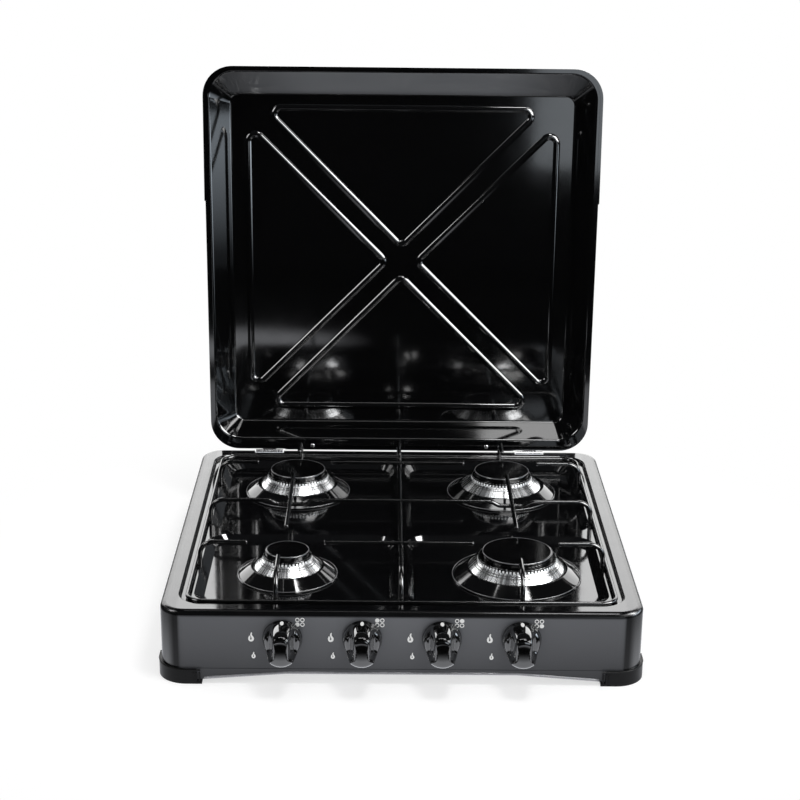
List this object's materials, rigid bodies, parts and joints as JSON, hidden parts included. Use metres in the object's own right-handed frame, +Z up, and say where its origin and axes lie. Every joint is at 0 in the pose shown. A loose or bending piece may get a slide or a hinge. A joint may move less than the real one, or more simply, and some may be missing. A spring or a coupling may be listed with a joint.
{
  "type": "tabletop gas cooker",
  "caption": "Tabletop gas cooker in black enamel: pressed body with sunken burner pools, burners with lift-off caps, bent wire pan support, turning push knobs and a hinged lid standing open.",
  "frame": {"origin": "on the floor under the middle of the body", "axes": "+X to the right seen from the front, -Y towards the knobs, +Z up"},
  "size_m": [0.506, 0.5724, 0.563],
  "materials": {
    "body_enamel": "glossy black vitreous enamel",
    "lid_enamel": "glossy black vitreous enamel",
    "collar_enamel": "glossy black enamel",
    "cap_enamel": "glossy black enamel",
    "wire_enamel": "glossy black enamel on wire",
    "foot_plastic": "black moulded plastic",
    "knob_plastic": "glossy black plastic",
    "burner_aluminium": "turned aluminium",
    "tube_aluminium": "drawn aluminium tube",
    "tap_brass": "machined brass",
    "spindle_steel": "bare steel",
    "pipe_steel": "zinc plated steel",
    "hinge_steel": "bright plated steel",
    "fastener_steel": "zinc plated steel"
  },
  "bodies": {
    "base": {"body_shell": "body_enamel", "foot_front_left": "foot_plastic", "foot_front_right": "foot_plastic", "foot_rear_left": "foot_plastic", "foot_rear_right": "foot_plastic", "burner_collar_front_left": "collar_enamel", "burner_collar_rear_left": "collar_enamel", "burner_collar_rear_right": "collar_enamel", "burner_collar_front_right": "collar_enamel", "burner_cup_front_left": "burner_aluminium", "burner_cup_rear_left": "burner_aluminium", "burner_cup_rear_right": "burner_aluminium", "burner_cup_front_right": "burner_aluminium", "burner_screws": "fastener_steel", "tap_body_1": "tap_brass", "tap_body_2": "tap_brass", "tap_body_3": "tap_brass", "tap_body_4": "tap_brass", "injectors": "tap_brass", "gas_inlet": "tap_brass", "inlet_nut": "tap_brass", "rail_straps": "pipe_steel", "gas_rail": "pipe_steel", "feed_pipe": "pipe_steel", "rail_brackets": "pipe_steel", "tube_mouth_plate": "pipe_steel", "tube_hanger": "pipe_steel", "mixing_tube_front_left": "tube_aluminium", "mixing_tube_rear_left": "tube_aluminium", "mixing_tube_rear_right": "tube_aluminium", "mixing_tube_front_right": "tube_aluminium", "hinge_brackets": "hinge_steel", "hinge_pins": "hinge_steel"},
    "lid": {"lid_shell": "lid_enamel", "lid_hinge_leaves": "hinge_steel", "lid_rivets": "hinge_steel"},
    "pan_support": {"pan_support_rail": "wire_enamel", "pan_support_cross_wires": "wire_enamel", "pan_support_bars": "wire_enamel", "pan_support_fingers": "wire_enamel"},
    "flame_ring_front_left": {"flame_ring_front_left": "burner_aluminium"},
    "burner_cap_front_left": {"burner_cap_front_left": "cap_enamel"},
    "flame_ring_rear_left": {"flame_ring_rear_left": "burner_aluminium"},
    "burner_cap_rear_left": {"burner_cap_rear_left": "cap_enamel"},
    "flame_ring_rear_right": {"flame_ring_rear_right": "burner_aluminium"},
    "burner_cap_rear_right": {"burner_cap_rear_right": "cap_enamel"},
    "flame_ring_front_right": {"flame_ring_front_right": "burner_aluminium"},
    "burner_cap_front_right": {"burner_cap_front_right": "cap_enamel"},
    "tap_plug_1": {"tap_plug_1": "tap_brass"},
    "knob_1": {"tap_spindle_1": "spindle_steel", "knob_1": "knob_plastic"},
    "tap_plug_2": {"tap_plug_2": "tap_brass"},
    "knob_2": {"tap_spindle_2": "spindle_steel", "knob_2": "knob_plastic"},
    "tap_plug_3": {"tap_plug_3": "tap_brass"},
    "knob_3": {"tap_spindle_3": "spindle_steel", "knob_3": "knob_plastic"},
    "tap_plug_4": {"tap_plug_4": "tap_brass"},
    "knob_4": {"tap_spindle_4": "spindle_steel", "knob_4": "knob_plastic"}
  },
  "joints": [
    {"name": "lid_hinge", "type": "hinge", "parent": "base", "child": "lid", "pos_m": [0, 0.2435, 0.0805], "axis": [-1, 0, 0], "range_deg": [-91, 0]},
    {"name": "pan_support_lift", "type": "slide", "parent": "base", "child": "pan_support", "axis": [0, 0, 1], "range_m": [0, 0.12]},
    {"name": "ring_lift_front_left", "type": "slide", "parent": "base", "child": "flame_ring_front_left", "axis": [0, 0, 1], "range_m": [0, 0.04]},
    {"name": "cap_lift_front_left", "type": "slide", "parent": "flame_ring_front_left", "child": "burner_cap_front_left", "axis": [0, 0, 1], "range_m": [0, 0.03]},
    {"name": "ring_lift_rear_left", "type": "slide", "parent": "base", "child": "flame_ring_rear_left", "axis": [0, 0, 1], "range_m": [0, 0.04]},
    {"name": "cap_lift_rear_left", "type": "slide", "parent": "flame_ring_rear_left", "child": "burner_cap_rear_left", "axis": [0, 0, 1], "range_m": [0, 0.03]},
    {"name": "ring_lift_rear_right", "type": "slide", "parent": "base", "child": "flame_ring_rear_right", "axis": [0, 0, 1], "range_m": [0, 0.04]},
    {"name": "cap_lift_rear_right", "type": "slide", "parent": "flame_ring_rear_right", "child": "burner_cap_rear_right", "axis": [0, 0, 1], "range_m": [0, 0.03]},
    {"name": "ring_lift_front_right", "type": "slide", "parent": "base", "child": "flame_ring_front_right", "axis": [0, 0, 1], "range_m": [0, 0.04]},
    {"name": "cap_lift_front_right", "type": "slide", "parent": "flame_ring_front_right", "child": "burner_cap_front_right", "axis": [0, 0, 1], "range_m": [0, 0.03]},
    {"name": "tap_turn_1", "type": "hinge", "parent": "base", "child": "tap_plug_1", "pos_m": [-0.1224, -0.2444, 0.053], "axis": [0, -1, 0], "range_deg": [0, 110]},
    {"name": "knob_push_1", "type": "slide", "parent": "tap_plug_1", "child": "knob_1", "axis": [0, 1, 0], "range_m": [0, 0.0025], "stiffness_N_per_m": 800, "springref_m": -0.003},
    {"name": "tap_turn_2", "type": "hinge", "parent": "base", "child": "tap_plug_2", "pos_m": [-0.0408, -0.2444, 0.053], "axis": [0, -1, 0], "range_deg": [0, 110]},
    {"name": "knob_push_2", "type": "slide", "parent": "tap_plug_2", "child": "knob_2", "axis": [0, 1, 0], "range_m": [0, 0.0025], "stiffness_N_per_m": 800, "springref_m": -0.003},
    {"name": "tap_turn_3", "type": "hinge", "parent": "base", "child": "tap_plug_3", "pos_m": [0.0408, -0.2444, 0.053], "axis": [0, -1, 0], "range_deg": [0, 110]},
    {"name": "knob_push_3", "type": "slide", "parent": "tap_plug_3", "child": "knob_3", "axis": [0, 1, 0], "range_m": [0, 0.0025], "stiffness_N_per_m": 800, "springref_m": -0.003},
    {"name": "tap_turn_4", "type": "hinge", "parent": "base", "child": "tap_plug_4", "pos_m": [0.1224, -0.2444, 0.053], "axis": [0, -1, 0], "range_deg": [0, 110]},
    {"name": "knob_push_4", "type": "slide", "parent": "tap_plug_4", "child": "knob_4", "axis": [0, 1, 0], "range_m": [0, 0.0025], "stiffness_N_per_m": 800, "springref_m": -0.003}
  ]
}
